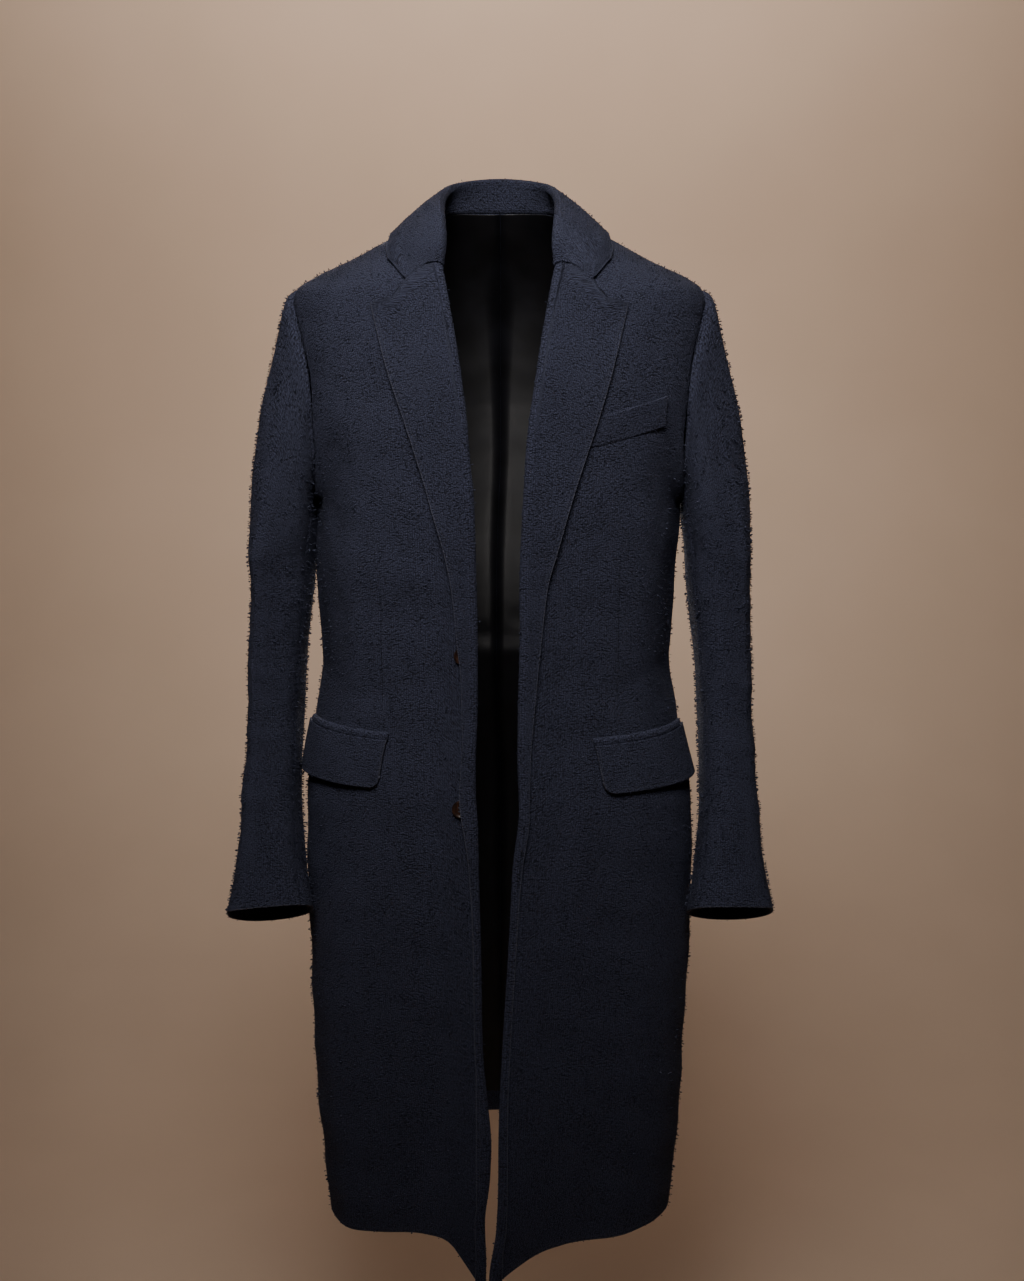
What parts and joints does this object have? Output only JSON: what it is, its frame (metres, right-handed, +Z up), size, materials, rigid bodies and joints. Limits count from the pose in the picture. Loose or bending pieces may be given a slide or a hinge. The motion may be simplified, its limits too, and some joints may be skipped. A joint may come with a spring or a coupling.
{
  "type": "wool overcoat",
  "caption": "Single-breasted knee-length overcoat in napped wool, notch lapels, worn open and hollow.",
  "frame": {"origin": "midway between the two neck points of the shoulder seams, where a wearer's shoulders hold the coat up", "axes": "+Z up, -Y to the front, +X to the wearer's left"},
  "size_m": [0.5778, 0.3034, 1.1668],
  "materials": {
    "coating": "heavy napped wool, dark navy",
    "horn": "polished brown horn"
  },
  "bodies": {
    "root": {"back_left": "coating", "back_right": "coating", "front_left": "coating", "front_right": "coating", "lapel_left": "coating", "lapel_right": "coating", "collar": "coating", "top_sleeve_left": "coating", "top_sleeve_right": "coating", "under_sleeve_left": "coating", "under_sleeve_right": "coating", "pocket_flap_left": "coating", "pocket_flap_right": "coating", "pocket_jet_left": "coating", "pocket_jet_right": "coating", "chest_welt": "coating", "button_upper": "horn", "button_lower": "horn"}
  },
  "joints": []
}
